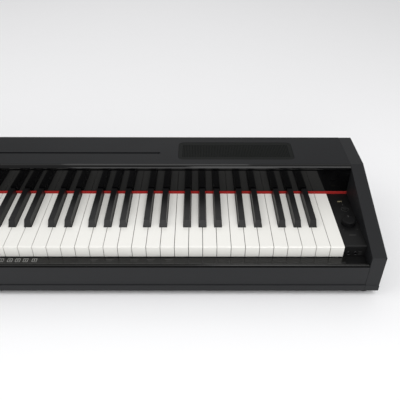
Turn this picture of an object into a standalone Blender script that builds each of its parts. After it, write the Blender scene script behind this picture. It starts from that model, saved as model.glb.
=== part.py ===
"""Digital piano: an 88-key slab instrument built as separate pieces.

Metres, +Z up, +Y towards the back, +X towards the highest note. The origin is the centre
of the footprint, on the surface that the feet stand on.
"""

import math

import bmesh
import bpy
from mathutils import Matrix

# Fits
SEAT_GAP = 0.0003  # between pieces that rest on or butt against each other
RUNNING_GAP = 0.0005  # around a shaft or a button in its hole
FACET_ALLOWANCE = 0.00003  # what the flats of a round hollow take from its radius

# Keys
OCTAVES = 7
WHITE_PITCH = 0.0235
KEY_GAP = 0.001
WHITE_TOP_LENGTH = 0.1495
WHITE_THICKNESS = 0.013
WHITE_LIP_HEIGHT = 0.0215
WHITE_LIP_THICKNESS = 0.003
WHITE_EDGE_RADIUS = 0.0008
BLACK_TOP_LENGTH = 0.0985
BLACK_FOOT_WIDTH = 0.0125
BLACK_CREST_WIDTH = 0.0102
BLACK_HEIGHT = 0.012
BLACK_NOSE_RUN = 0.005
BLACK_SIDE_GAP = 0.0008
TAIL_DROP = 0.003
TAIL_LENGTH = 0.0555  # from the rear edge of the tops to the pivot
HEEL_LENGTH = 0.010  # behind the pivot
KEY_DIP = 0.010
SOLO_OCTAVES = (6, 7)  # octaves whose keys are separate; the lower ones are moulded combs

# Combs: the strip that joins the keys of one octave behind the pivot
COMB_STEP = 0.0045  # behind the pivot, where a tail narrows to its own level
COMB_STEP_GAP = 0.0006
COMB_LEVEL_GAP = 0.001  # between the white strip and the black strip above it
COMB_INSET = 0.0003  # the strip is this much thinner than the tails' level
COMB_END_INSET = 0.001

# Key frame
FRAME_BASE_THICKNESS = 0.0025
FRAME_MARGIN = 0.002  # beyond the heels
GUIDE_SETBACK = 0.012  # behind the white fronts
GUIDE_THICKNESS = 0.006
GUIDE_CLEARANCE = 0.001  # under a key that is fully down
BEAD_RADIUS = 0.003
STEM_THICKNESS = 0.0032

# Case
FOOT_HEIGHT = 0.0122
FOOT_RADIUS = 0.012
FOOT_TAPER = 0.0015
FOOT_CHAMFER = 0.001
FOOT_INSET_X = 0.0195  # from the end panel's outer face to the foot's axis
FOOT_INSET_Y = 0.020  # from the front and the back
BED_HEIGHT = 0.0735  # from the underside of the case to the white tops
HOOD_RISE = 0.0585  # from the white tops to the top cover
BOARD_THICKNESS = 0.009
CHEEK_WIDTH = 0.038
END_THICKNESS = 0.024
EDGE_BEVEL = 0.0008
LEDGE_STEP = 0.0012
PLINTH_HEIGHT = 0.0130
END_PLINTH_HEIGHT = 0.0110
KEY_SETBACK = 0.027  # from the rail's face to the white fronts
REAR_BAY = 0.0428  # from the heels to the rear panel
PANEL_THICKNESS = 0.003
COVER_THICKNESS = 0.0035

# Front rail and key slip
RAIL_DROP = 0.0204  # rail's top edge below the white tops
RAIL_THICKNESS = 0.012
RAIL_REBATE = 0.0022
RAIL_REBATE_SETBACK = 0.0016
SLIP_DROP = 0.019
SLIP_REACH = 0.0142  # flat part of the slip, from front to back
SLIP_KEY_GAP = 0.0053  # between the slip and the white fronts
RIDGE_RADIUS = 0.0026
RIDGE_RISE = 0.002
RIDGE_STEPS = 6

# Felt, fallboard and top cover
FELT_DEPTH = 0.0035
FELT_DROP = 0.0012
FELT_RISE = 0.0042
FELT_REVEAL = 0.0015
FALLBOARD_THICKNESS = 0.003
FALLBOARD_LEAN = 0.0015
FALLBOARD_CREASE = 0.0092  # ledge under the nose, below the top
NOSE_RADIUS = 0.005
NOSE_SETBACK = 0.007
NOSE_STEPS = 7
NOSE_START_DEG = 230
NOSE_SINK = 0.0002
COVER_SETBACK = 0.0105
SHELF_DEPTH = 0.0055

# Music-stand slot
SLOT_LENGTH = 0.587
SLOT_WIDTH = 0.0046
SLOT_SETBACK = 0.038
SLOT_NOTCH_RADIUS = 0.0032
POCKET_DEPTH = 0.018
POCKET_WALL = 0.002

# Speakers and grilles
GRILLE_LENGTH = 0.218
GRILLE_DEPTH = 0.062
GRILLE_CORNER = 0.009
GRILLE_CORNER_STEPS = 4
GRILLE_THICKNESS = 0.0015
GRILLE_SINK = 0.0002
GRILLE_MARGIN = 0.100  # from the end panel
GRILLE_SETBACK = 0.0155  # from the cover's front edge
GRILLE_LEDGE = 0.003
FLANGE_OVERLAP = 0.004
FLANGE_THICKNESS = 0.0025
CONE_WALL = 0.0025
CONE_DEPTH = 0.018
CONE_LENGTH = 0.150
CONE_WIDTH = 0.050
CONE_BACK_SHARE = 0.5
CONE_STEPS = 20
MAGNET_RADIUS = 0.020
MAGNET_HEIGHT = 0.011

# Cheek blocks and their controls
CHEEK_SETBACK = 0.003  # behind the white fronts
CHEEK_KEY_GAP = 0.0005
CHEEK_WALL = 0.0025
CHEEK_NOSE_RADIUS = 0.0015
WELL_DROP = 0.0240  # floor of the well in front of the sockets, below the white tops
KNOB_RADIUS = 0.0125
KNOB_HEIGHT = 0.0098
KNOB_DOME = 0.0012
KNOB_FROM_INNER = 0.0182  # from the end panel to the knob's axis
KNOB_SETBACK = 0.0615  # behind the white fronts
SHAFT_RADIUS = 0.003
SHAFT_LENGTH = 0.009
BUTTON_RADIUS = 0.005
BUTTON_RISE = 0.0018
BUTTON_TRAVEL = 0.0015
BUTTON_FLANGE = 0.0015
BUTTON_FLANGE_THICKNESS = 0.0015
BUTTON_FROM_INNER = 0.0143
BUTTON_SETBACK = 0.1025
ROUND_STEPS = 20

# Headphone sockets
JACK_RADIUS = 0.0033
JACK_SPACING = 0.012
JACK_FROM_INNER = 0.0174  # from the end panel to the nearer socket
JACK_DROP = 0.0162
JACK_DEPTH = 0.014
JACK_WALL = 0.002
JACK_BACK = 0.003

# Rear socket panel
SOCKET_PANEL_WIDTH = 0.118
SOCKET_PANEL_HEIGHT = 0.030
SOCKET_PANEL_X = 0.430
SOCKET_PANEL_RISE = 0.034  # above the underside of the case, to the panel's centre
SOCKET_PITCH = 0.034
SOCKET_OUTER_RADIUS = 0.0062
USB_WIDTH = 0.0125
USB_HEIGHT = 0.0060

# Main circuit board
CIRCUIT_LENGTH = 0.240
CIRCUIT_X = 0.400
CIRCUIT_THICKNESS = 0.0016
CIRCUIT_CLEARANCE = 0.0025
POST_RADIUS = 0.003
POST_HEIGHT = 0.005
POST_INSET = 0.006
CHIP_HEIGHT = 0.003
CHIP_SINK = 0.0005

# Levels and planes that follow from the sizes above
CASE_BOTTOM = FOOT_HEIGHT + SEAT_GAP
KEY_LEVEL = CASE_BOTTOM + BED_HEIGHT
TOP = KEY_LEVEL + HOOD_RISE
COVER_UNDERSIDE = TOP - COVER_THICKNESS
BED_TOP = CASE_BOTTOM + BOARD_THICKNESS
PIVOT_Z = KEY_LEVEL - WHITE_THICKNESS
TAIL_TOP = WHITE_THICKNESS - TAIL_DROP  # above the pivot
COMB_LEVEL = (TAIL_TOP - COMB_LEVEL_GAP) / 2

KEY_REACH = WHITE_TOP_LENGTH + TAIL_LENGTH
CASE_DEPTH = LEDGE_STEP + KEY_SETBACK + KEY_REACH + HEEL_LENGTH + REAR_BAY + PANEL_THICKNESS
FRONT = -CASE_DEPTH / 2
REAR = CASE_DEPTH / 2
FACE = FRONT + LEDGE_STEP
KEY_FRONT = FACE + KEY_SETBACK
TOPS_REAR = KEY_FRONT + WHITE_TOP_LENGTH
PIVOT_Y = KEY_FRONT + KEY_REACH
HEEL_Y = PIVOT_Y + HEEL_LENGTH
PANEL_FRONT = REAR - PANEL_THICKNESS
RAIL_BACK = FACE + RAIL_THICKNESS
FELT_FRONT = TOPS_REAR + KEY_GAP
FALLBOARD_FRONT = FELT_FRONT + FELT_REVEAL
COVER_FRONT = FALLBOARD_FRONT + COVER_SETBACK

WHITE_COUNT = 7 * OCTAVES + 3
KEYBOARD_HALF = WHITE_COUNT * WHITE_PITCH / 2
INNER_HALF = KEYBOARD_HALF + CHEEK_WIDTH
OUTER_HALF = INNER_HALF + END_THICKNESS
BETWEEN_ENDS = 2 * (INNER_HALF - SEAT_GAP)

WHITE_NAMES = "CDEFGAB"
BLACK_AFTER = (0, 1, 3, 4, 5)  # whites that have a black key at their right
BEAD_STEPS = 8
GROOVE_STEPS = 8

SIDE_VIEW = Matrix(((0, 0, 1, 0), (1, 0, 0, 0), (0, 1, 0, 0), (0, 0, 0, 1)))  # (y, z) outline
REAR_VIEW = Matrix(((1, 0, 0, 0), (0, 0, -1, 0), (0, 1, 0, 0), (0, 0, 0, 1)))  # (x, z) outline


def clear_scene():
    for obj in list(bpy.data.objects):
        bpy.data.objects.remove(obj)


def new_collection(name):
    collection = bpy.data.collections.new(name)
    bpy.context.scene.collection.children.link(collection)
    return collection


def surface(name, colour, roughness, metallic=0.0):
    """A material with the piece's colour, roughness and metallic value."""
    made = bpy.data.materials.new(name)
    made.use_nodes = True
    shader = made.node_tree.nodes["Principled BSDF"]
    shader.inputs["Base Color"].default_value = (*colour, 1.0)
    shader.inputs["Roughness"].default_value = roughness
    shader.inputs["Metallic"].default_value = metallic
    made.diffuse_color = (*colour, 1.0)
    return made


def tidy_mesh(mesh):
    """Welds the caps to the sides and turns every face outwards."""
    shape = bmesh.new()
    shape.from_mesh(mesh)
    bmesh.ops.remove_doubles(shape, verts=shape.verts, dist=1e-6)
    bmesh.ops.recalc_face_normals(shape, faces=shape.faces)
    shape.to_mesh(mesh)
    shape.free()
    return mesh


def outline_mesh(points, thickness, view=None):
    """A closed outline as a solid, half its thickness to each side of the outline's plane."""
    curve = bpy.data.curves.new("outline", "CURVE")
    curve.dimensions = "2D"
    curve.fill_mode = "BOTH"
    curve.extrude = thickness / 2
    spline = curve.splines.new("POLY")
    spline.points.add(len(points) - 1)
    for point, (u, v) in zip(spline.points, points):
        point.co = (u, v, 0, 1)
    spline.use_cyclic_u = True
    holder = bpy.data.objects.new("outline", curve)
    bpy.context.scene.collection.objects.link(holder)
    graph = bpy.context.evaluated_depsgraph_get()
    mesh = bpy.data.meshes.new_from_object(holder.evaluated_get(graph))
    bpy.data.objects.remove(holder)
    bpy.data.curves.remove(curve)
    if view:
        mesh.transform(view)
    return tidy_mesh(mesh)


def box_mesh(low, high):
    """A box between two corners."""
    shape = bmesh.new()
    size = [b - a for a, b in zip(low, high)]
    centre = [(a + b) / 2 for a, b in zip(low, high)]
    bmesh.ops.create_cube(shape, size=1, matrix=Matrix.Translation(centre) @ Matrix.Diagonal((*size, 1)))
    mesh = bpy.data.meshes.new("box")
    shape.to_mesh(mesh)
    shape.free()
    return mesh


def round_mesh(radius, depth, place, end_radius=None, steps=ROUND_STEPS, stretch=1.0):
    """A cylinder or cone along its own Z, turned and placed by a matrix."""
    shape = bmesh.new()
    bmesh.ops.create_cone(
        shape,
        cap_ends=True,
        segments=steps,
        radius1=radius if end_radius is None else end_radius,
        radius2=radius,
        depth=depth,
        matrix=place @ Matrix.Diagonal((stretch, 1, 1, 1)),
    )
    mesh = bpy.data.meshes.new("round")
    shape.to_mesh(mesh)
    shape.free()
    return mesh


def joined_mesh(meshes):
    """Several meshes that don't touch, as one."""
    shape = bmesh.new()
    for mesh in meshes:
        shape.from_mesh(mesh)
    result = bpy.data.meshes.new("joined")
    shape.to_mesh(result)
    shape.free()
    return result


def boolean_mesh(mesh, tool, operation):
    """The mesh after a Boolean with another mesh."""
    body = bpy.data.objects.new("body", mesh)
    other = bpy.data.objects.new("tool", tool)
    for obj in (body, other):
        bpy.context.scene.collection.objects.link(obj)
    modifier = body.modifiers.new(operation.lower(), "BOOLEAN")
    modifier.operation = operation
    modifier.object = other
    graph = bpy.context.evaluated_depsgraph_get()
    result = bpy.data.meshes.new_from_object(body.evaluated_get(graph))
    bpy.data.objects.remove(body)
    bpy.data.objects.remove(other)
    return result


def add_piece(name, mesh, finish, location=(0, 0, 0), parent=None):
    """A named sub-part in the piano's collection."""
    mesh.name = name
    mesh.materials.clear()
    mesh.materials.append(finish)
    obj = bpy.data.objects.new(name, mesh)
    bpy.data.collections[PIANO].objects.link(obj)
    obj.location = location
    obj.parent = parent
    return obj


def add_cutter(name, mesh, location=(0, 0, 0)):
    """A hidden helper for a Boolean."""
    obj = bpy.data.objects.new(name, mesh)
    bpy.data.collections[CUTTERS].objects.link(obj)
    obj.location = location
    obj.hide_render = True
    obj.display_type = "WIRE"
    return obj


def add_boolean(obj, name, mesh, operation="DIFFERENCE"):
    modifier = obj.modifiers.new(name, "BOOLEAN")
    modifier.operation = operation
    modifier.object = add_cutter(f"{obj.name}_{name}", mesh)


def add_bevel(obj, width, segments=1):
    modifier = obj.modifiers.new("edges", "BEVEL")
    modifier.width = width
    modifier.segments = segments
    modifier.limit_method = "ANGLE"
    modifier.angle_limit = math.radians(40)


def add_anchor(name, location):
    """An empty that pieces are placed from."""
    anchor = bpy.data.objects.new(name, None)
    anchor.empty_display_size = 0.02
    bpy.data.collections[PIANO].objects.link(anchor)
    anchor.location = location
    return anchor


def shade_round(obj):
    obj.data.shade_smooth()
    obj.data.set_sharp_from_angle(angle=math.radians(35))


def arc(centre, radius, start_deg, end_deg, steps):
    """Points on an arc, both ends included."""
    points = []
    for step in range(steps + 1):
        angle = math.radians(start_deg + (end_deg - start_deg) * step / steps)
        points.append((centre[0] + radius * math.cos(angle), centre[1] + radius * math.sin(angle)))
    return points


def rounded_rectangle(length, width, corner, steps):
    """Outline centred on the origin."""
    points = []
    for quarter, (sx, sy) in enumerate(((1, 1), (-1, 1), (-1, -1), (1, -1))):
        centre = (sx * (length / 2 - corner), sy * (width / 2 - corner))
        points += arc(centre, corner, 90 * quarter, 90 * quarter + 90, steps)
    return points


def octave_left(octave):
    """X of the left edge of an octave's C. Octave 0 has only its A and B."""
    return -KEYBOARD_HALF + (2 + 7 * (octave - 1)) * WHITE_PITCH


def black_centre(octave, white):
    """X of the black key at the right of a white one: all tails of a group are equally wide."""
    if white < 3:
        group_start, tails, tail = 0, 3 * WHITE_PITCH / 5, 2 * white + 1.5
    else:
        group_start, tails, tail = 3 * WHITE_PITCH, 4 * WHITE_PITCH / 7, 2 * (white - 3) + 1.5
    return octave_left(octave) + group_start + tails * tail


def white_centre(octave, white):
    return octave_left(octave) + (white + 0.5) * WHITE_PITCH


def key_on_keyboard(octave, white):
    """Whether the white key at this place exists: the keyboard runs from A0 to C8."""
    if octave == 0:
        return white >= 5
    return octave <= OCTAVES or (octave == OCTAVES + 1 and white == 0)


def heel_points(level):
    """Outline of the tail behind the pivot, top to bottom."""
    if level == "lower":
        return [(COMB_STEP, TAIL_TOP), (COMB_STEP, COMB_LEVEL), (HEEL_LENGTH, COMB_LEVEL), (HEEL_LENGTH, 0)]
    if level == "upper":
        underside = TAIL_TOP - COMB_LEVEL
        return [(HEEL_LENGTH, TAIL_TOP), (HEEL_LENGTH, underside), (COMB_STEP, underside), (COMB_STEP, 0)]
    return [(HEEL_LENGTH, TAIL_TOP), (HEEL_LENGTH, 0)]


def groove_points():
    """The hollow under the tail that turns on the bead."""
    return arc((0, 0), BEAD_RADIUS + SEAT_GAP + FACET_ALLOWANCE, 0, 180, GROOVE_STEPS)


def white_side(level):
    """Side outline of a white key, measured from its pivot."""
    front = -KEY_REACH
    top = WHITE_THICKNESS
    lip_back = front + WHITE_LIP_THICKNESS
    lip_foot = top - WHITE_LIP_HEIGHT
    return [
        (front, top - WHITE_EDGE_RADIUS),
        (front + WHITE_EDGE_RADIUS, top),
        (-TAIL_LENGTH, top),
        (-TAIL_LENGTH, TAIL_TOP),
        *heel_points(level),
        *groove_points(),
        (lip_back, 0),
        (lip_back, lip_foot),
        (front, lip_foot),
    ]


def black_side(level):
    """Side outline of a black key, measured from its pivot."""
    front = -TAIL_LENGTH - BLACK_TOP_LENGTH
    crest = WHITE_THICKNESS + BLACK_HEIGHT
    return [
        (front, WHITE_THICKNESS),
        (front + BLACK_NOSE_RUN, crest),
        (-TAIL_LENGTH, crest),
        (-TAIL_LENGTH, TAIL_TOP),
        *heel_points(level),
        *groove_points(),
        (front, 0),
    ]


def white_key_mesh(octave, white, level="whole"):
    """One white key, centred across its own pitch, with its cut-outs for the black keys."""
    width = WHITE_PITCH - KEY_GAP
    mesh = outline_mesh(white_side(level), width, SIDE_VIEW)
    head_back = -TAIL_LENGTH - BLACK_TOP_LENGTH - BLACK_SIDE_GAP
    clear = BLACK_FOOT_WIDTH / 2 + BLACK_SIDE_GAP
    past = KEY_GAP
    centre = white_centre(octave, white)
    notches = []
    if white in BLACK_AFTER and octave <= OCTAVES:
        edge = black_centre(octave, white) - clear - centre
        notches.append(box_mesh((edge, head_back, -WHITE_LIP_HEIGHT), (width, HEEL_LENGTH + past, WHITE_THICKNESS + past)))
    if white - 1 in BLACK_AFTER and key_on_keyboard(octave, white - 1):
        edge = black_centre(octave, white - 1) + clear - centre
        notches.append(box_mesh((-width, head_back, -WHITE_LIP_HEIGHT), (edge, HEEL_LENGTH + past, WHITE_THICKNESS + past)))
    if not notches:
        return mesh
    return boolean_mesh(mesh, joined_mesh(notches), "DIFFERENCE")


def black_key_mesh(level="whole"):
    """One black key, narrower towards its crest."""
    mesh = outline_mesh(black_side(level), BLACK_FOOT_WIDTH, SIDE_VIEW)
    narrowing = 1 - BLACK_CREST_WIDTH / BLACK_FOOT_WIDTH
    for vertex in mesh.vertices:
        share = max(0.0, vertex.co.z - WHITE_THICKNESS) / BLACK_HEIGHT
        vertex.co.x *= 1 - narrowing * share
    return mesh


def comb_mesh(prongs, half_width, level):
    """Keys of one octave joined by a strip behind the pivot."""
    base = 0 if level == "lower" else TAIL_TOP - COMB_LEVEL
    strip = box_mesh(
        (-half_width + COMB_END_INSET, COMB_STEP + COMB_STEP_GAP, base + COMB_INSET),
        (half_width - COMB_END_INSET, HEEL_LENGTH - COMB_INSET, base + COMB_LEVEL - COMB_INSET),
    )
    return boolean_mesh(joined_mesh(prongs), strip, "UNION")


def shifted(mesh, offset):
    mesh.transform(Matrix.Translation((offset, 0, 0)))
    return mesh


def add_solo_keys(octave, hinge, ivory, ebony):
    """Each key of an octave as its own piece, turning on the hinge line."""
    for white, note in enumerate(WHITE_NAMES):
        if not key_on_keyboard(octave, white):
            continue
        mesh = white_key_mesh(octave, white)
        add_piece(f"white_key_{note}{octave}", mesh, ivory, (white_centre(octave, white), 0, 0), hinge)
        if white in BLACK_AFTER and octave <= OCTAVES:
            place = (black_centre(octave, white), 0, 0)
            add_piece(f"black_key_{note}_sharp_{octave}", black_key_mesh(), ebony, place, hinge)


def add_combs(octave, hinge, ivory, ebony):
    """The moulded white comb and black comb of an octave; the lowest also has A0 and B0."""
    span = [(octave, white) for white in range(7)]
    if octave == 1:
        span = [(0, 5), (0, 6)] + span
    left = white_centre(*span[0]) - WHITE_PITCH / 2
    right = white_centre(*span[-1]) + WHITE_PITCH / 2
    middle = (left + right) / 2
    prongs = [shifted(white_key_mesh(*key, "lower"), white_centre(*key) - middle) for key in span]
    mesh = comb_mesh(prongs, (right - left) / 2, "lower")
    add_piece(f"white_key_comb_{octave}", mesh, ivory, (middle, 0, 0), hinge)

    centres = [black_centre(*key) for key in span if key[1] in BLACK_AFTER]
    middle = (centres[0] + centres[-1]) / 2
    prongs = [shifted(black_key_mesh("upper"), centre - middle) for centre in centres]
    mesh = comb_mesh(prongs, (centres[-1] - centres[0] + BLACK_FOOT_WIDTH) / 2, "upper")
    add_piece(f"black_key_comb_{octave}", mesh, ebony, (middle, 0, 0), hinge)


def add_keys():
    ivory = surface("white_key_plastic", (0.86, 0.85, 0.81), 0.25)
    ebony = surface("black_key_plastic", (0.012, 0.012, 0.013), 0.45)
    hinge = add_anchor("key_hinge_line", (0, PIVOT_Y, PIVOT_Z))
    for octave in range(1, OCTAVES + 2):
        if octave in SOLO_OCTAVES or octave > OCTAVES:
            add_solo_keys(octave, hinge, ivory, ebony)
        else:
            add_combs(octave, hinge, ivory, ebony)


def add_key_frame():
    """Chassis under the keys: base, front guide rail, and the bead that the tails turn on."""
    base = BED_TOP + SEAT_GAP - PIVOT_Z
    floor = base + FRAME_BASE_THICKNESS
    guide_front = -KEY_REACH + GUIDE_SETBACK
    guide_top = -KEY_DIP - GUIDE_CLEARANCE
    half_stem = STEM_THICKNESS / 2
    below = math.degrees(math.acos(half_stem / BEAD_RADIUS))
    outline = [
        (-KEY_REACH, base),
        (HEEL_LENGTH + FRAME_MARGIN, base),
        (HEEL_LENGTH + FRAME_MARGIN, floor),
        (half_stem, floor),
        *arc((0, 0), BEAD_RADIUS, -below, 180 + below, BEAD_STEPS),
        (-half_stem, floor),
        (guide_front + GUIDE_THICKNESS, floor),
        (guide_front + GUIDE_THICKNESS, guide_top),
        (guide_front, guide_top),
        (guide_front, floor),
        (-KEY_REACH, floor),
    ]
    finish = surface("key_frame_plastic", (0.05, 0.05, 0.055), 0.6)
    mesh = outline_mesh(outline, 2 * KEYBOARD_HALF - KEY_GAP, SIDE_VIEW)
    add_piece("key_frame", mesh, finish, (0, PIVOT_Y, PIVOT_Z))


def add_feet():
    """Four turned rubber feet."""
    finish = surface("foot_rubber", (0.02, 0.02, 0.02), 0.85)
    base_radius = FOOT_RADIUS - FOOT_TAPER
    profile = [
        (0, FOOT_HEIGHT),
        (FOOT_RADIUS, FOOT_HEIGHT),
        (base_radius, FOOT_CHAMFER),
        (base_radius - FOOT_CHAMFER, 0),
        (0, 0),
    ]
    for side_name, side in (("left", -1), ("right", 1)):
        for end_name, y in (("front", FRONT + FOOT_INSET_Y), ("rear", REAR - FOOT_INSET_Y)):
            foot = add_turned(f"{end_name}_{side_name}_foot", profile, finish, ROUND_STEPS)
            foot.location = (side * (OUTER_HALF - FOOT_INSET_X), y, 0)


def add_turned(name, profile, finish, steps, parent=None):
    """A profile of (radius, height) points, top to bottom, turned about its own Z."""
    mesh = bpy.data.meshes.new(name)
    points = [(radius, 0, height) for radius, height in profile]
    mesh.from_pydata(points, [(n, n + 1) for n in range(len(points) - 1)], [])
    obj = add_piece(name, mesh, finish, parent=parent)
    screw = obj.modifiers.new("turn", "SCREW")
    screw.steps = steps
    screw.render_steps = steps
    screw.use_merge_vertices = True
    screw.merge_threshold = 0.00001
    screw.use_smooth_shade = True
    return obj


def add_boards():
    """Bottom board and rear panel."""
    board = surface("board_black", (0.03, 0.03, 0.032), 0.7)
    half = BETWEEN_ENDS / 2
    low = (-half, RAIL_BACK + SEAT_GAP, CASE_BOTTOM)
    high = (half, PANEL_FRONT - SEAT_GAP, BED_TOP)
    add_piece("bottom_board", box_mesh(low, high), board)

    low = (-half, PANEL_FRONT, CASE_BOTTOM)
    high = (half, REAR, COVER_UNDERSIDE - SEAT_GAP)
    panel = add_piece("rear_panel", box_mesh(low, high), board)
    half_width = SOCKET_PANEL_WIDTH / 2 + SEAT_GAP
    half_height = SOCKET_PANEL_HEIGHT / 2 + SEAT_GAP
    centre = CASE_BOTTOM + SOCKET_PANEL_RISE
    low = (SOCKET_PANEL_X - half_width, PANEL_FRONT - PANEL_THICKNESS, centre - half_height)
    high = (SOCKET_PANEL_X + half_width, REAR + PANEL_THICKNESS, centre + half_height)
    add_boolean(panel, "socket_opening", box_mesh(low, high))


def add_end_panels():
    """Slabs at both ends, sloped beside the keys."""
    finish = surface("end_panel_black", (0.035, 0.036, 0.038), 0.5)
    ledge = CASE_BOTTOM + END_PLINTH_HEIGHT
    outline = [
        (FRONT, CASE_BOTTOM),
        (REAR, CASE_BOTTOM),
        (REAR, TOP),
        (COVER_FRONT, TOP),
        (FACE, KEY_LEVEL),
        (FACE, ledge),
        (FRONT, ledge),
    ]
    for name, side in (("left_end_panel", -1), ("right_end_panel", 1)):
        mesh = outline_mesh(outline, END_THICKNESS, SIDE_VIEW)
        panel = add_piece(name, mesh, finish, (side * (OUTER_HALF - END_THICKNESS / 2), 0, 0))
        add_bevel(panel, EDGE_BEVEL)


def add_front_rail():
    """Board across the front, with a plinth step below and a rebate for the key slip."""
    finish = surface("front_rail_black", (0.035, 0.036, 0.038), 0.45)
    top = KEY_LEVEL - RAIL_DROP
    ledge = CASE_BOTTOM + PLINTH_HEIGHT
    outline = [
        (FRONT, CASE_BOTTOM),
        (RAIL_BACK, CASE_BOTTOM),
        (RAIL_BACK, top - RAIL_REBATE),
        (FACE + RAIL_REBATE_SETBACK, top - RAIL_REBATE),
        (FACE, top),
        (FACE, ledge),
        (FRONT, ledge),
    ]
    add_piece("front_rail", outline_mesh(outline, BETWEEN_ENDS, SIDE_VIEW), finish)


def add_key_slip():
    """Label strip in front of the keys, with a rounded ridge that runs on past the keyboard."""
    finish = surface("key_slip_gloss", (0.018, 0.018, 0.017), 0.12)
    top = KEY_LEVEL - SLIP_DROP
    underside = KEY_LEVEL - RAIL_DROP - RAIL_REBATE + SEAT_GAP
    back = KEY_FRONT - SLIP_KEY_GAP
    ridge_back = back - SLIP_REACH
    crown = top + RIDGE_RISE - RIDGE_RADIUS
    ridge_centre = ridge_back - RIDGE_RADIUS
    outline = [
        (back, underside),
        (back, top),
        (ridge_back, top),
        *arc((ridge_centre, crown), RIDGE_RADIUS, 0, 180, RIDGE_STEPS),
        (ridge_centre - RIDGE_RADIUS, underside),
    ]
    slip = add_piece("key_slip", outline_mesh(outline, BETWEEN_ENDS, SIDE_VIEW), finish)
    for name, side in (("left_well", -1), ("right_well", 1)):
        near, far = sorted((side * KEYBOARD_HALF, side * (INNER_HALF + CHEEK_WIDTH)))
        low = (near, ridge_back, underside - SLIP_DROP)
        high = (far, KEY_FRONT, KEY_LEVEL)
        add_boolean(slip, name, box_mesh(low, high))


def add_felt():
    finish = surface("red_felt", (0.62, 0.035, 0.03), 0.95)
    half = BETWEEN_ENDS / 2
    low = (-half, FELT_FRONT, KEY_LEVEL - FELT_DROP)
    high = (half, FELT_FRONT + FELT_DEPTH, KEY_LEVEL + FELT_RISE)
    add_piece("key_felt", box_mesh(low, high), finish)


def add_fallboard():
    """Gloss panel behind the keys, with a rounded nose under the cover's front edge."""
    finish = surface("fallboard_gloss", (0.006, 0.006, 0.007), 0.06)
    foot = KEY_LEVEL + FELT_RISE + SEAT_GAP
    crease = TOP - FALLBOARD_CREASE
    nose = (FALLBOARD_FRONT + NOSE_SETBACK, TOP - NOSE_SINK - NOSE_RADIUS)
    shelf_top = COVER_UNDERSIDE - SEAT_GAP
    shelf_underside = shelf_top - FALLBOARD_THICKNESS
    cover_edge = COVER_FRONT - SEAT_GAP
    panel_back = FALLBOARD_FRONT + FALLBOARD_LEAN + FALLBOARD_THICKNESS
    outline = [
        (FALLBOARD_FRONT, foot),
        (FALLBOARD_FRONT + FALLBOARD_LEAN, crease),
        *arc(nose, NOSE_RADIUS, NOSE_START_DEG, 90, NOSE_STEPS),
        (cover_edge, TOP - NOSE_SINK),
        (cover_edge, shelf_top),
        (cover_edge + SHELF_DEPTH, shelf_top),
        (cover_edge + SHELF_DEPTH, shelf_underside),
        (nose[0] + FALLBOARD_THICKNESS, shelf_underside),
        (panel_back, crease - FALLBOARD_THICKNESS),
        (FALLBOARD_FRONT + FALLBOARD_THICKNESS, foot),
    ]
    add_piece("fallboard", outline_mesh(outline, BETWEEN_ENDS, SIDE_VIEW), finish)


def grille_places():
    """Centre of each grille, with its side's name."""
    x = INNER_HALF - GRILLE_MARGIN - GRILLE_LENGTH / 2
    y = COVER_FRONT + GRILLE_SETBACK + GRILLE_DEPTH / 2
    return (("left", (-x, y)), ("right", (x, y)))


def grille_outline(grow):
    """Outline of the grille, larger by this margin all round."""
    corner = GRILLE_CORNER + grow
    return rounded_rectangle(GRILLE_LENGTH + 2 * grow, GRILLE_DEPTH + 2 * grow, corner, GRILLE_CORNER_STEPS)


def add_top_cover():
    """Flat cover with rebated speaker openings and the pocket of the music-stand slot."""
    finish = surface("top_cover_black", (0.042, 0.043, 0.047), 0.42)
    half = BETWEEN_ENDS / 2
    cover = add_piece("top_cover", box_mesh((-half, COVER_FRONT, COVER_UNDERSIDE), (half, REAR, TOP)), finish)

    slot_y = COVER_FRONT + SLOT_SETBACK
    half_slot = SLOT_WIDTH / 2
    half_pocket = half_slot + POCKET_WALL
    half_length = SLOT_LENGTH / 2
    floor = COVER_UNDERSIDE - POCKET_DEPTH
    pocket_end = half_length + SLOT_NOTCH_RADIUS + POCKET_WALL
    low = (-pocket_end, slot_y - half_pocket, floor - POCKET_WALL)
    high = (pocket_end, slot_y + half_pocket, COVER_UNDERSIDE + COVER_THICKNESS / 2)
    add_boolean(cover, "pocket", box_mesh(low, high), "UNION")
    low = (-half_length, slot_y - half_slot, floor)
    high = (half_length, slot_y + half_slot, TOP + COVER_THICKNESS)
    add_boolean(cover, "slot", box_mesh(low, high))
    for name, side in (("left_notch", -1), ("right_notch", 1)):
        place = Matrix.Translation((side * half_length, slot_y, TOP))
        add_boolean(cover, name, round_mesh(SLOT_NOTCH_RADIUS, COVER_THICKNESS, place, steps=12))

    for name, (x, y) in grille_places():
        rebate = outline_mesh(grille_outline(SEAT_GAP), 2 * (GRILLE_THICKNESS + GRILLE_SINK + SEAT_GAP))
        rebate.transform(Matrix.Translation((x, y, TOP)))
        add_boolean(cover, f"{name}_rebate", rebate)
        hole = outline_mesh(grille_outline(-GRILLE_LEDGE), 4 * COVER_THICKNESS)
        hole.transform(Matrix.Translation((x, y, TOP)))
        add_boolean(cover, f"{name}_opening", hole)


def add_grilles():
    finish = surface("grille_black", (0.018, 0.021, 0.019), 0.7)
    for name, (x, y) in grille_places():
        mesh = outline_mesh(grille_outline(0), GRILLE_THICKNESS)
        add_piece(f"{name}_speaker_grille", mesh, finish, (x, y, TOP - GRILLE_SINK - GRILLE_THICKNESS / 2))


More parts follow.
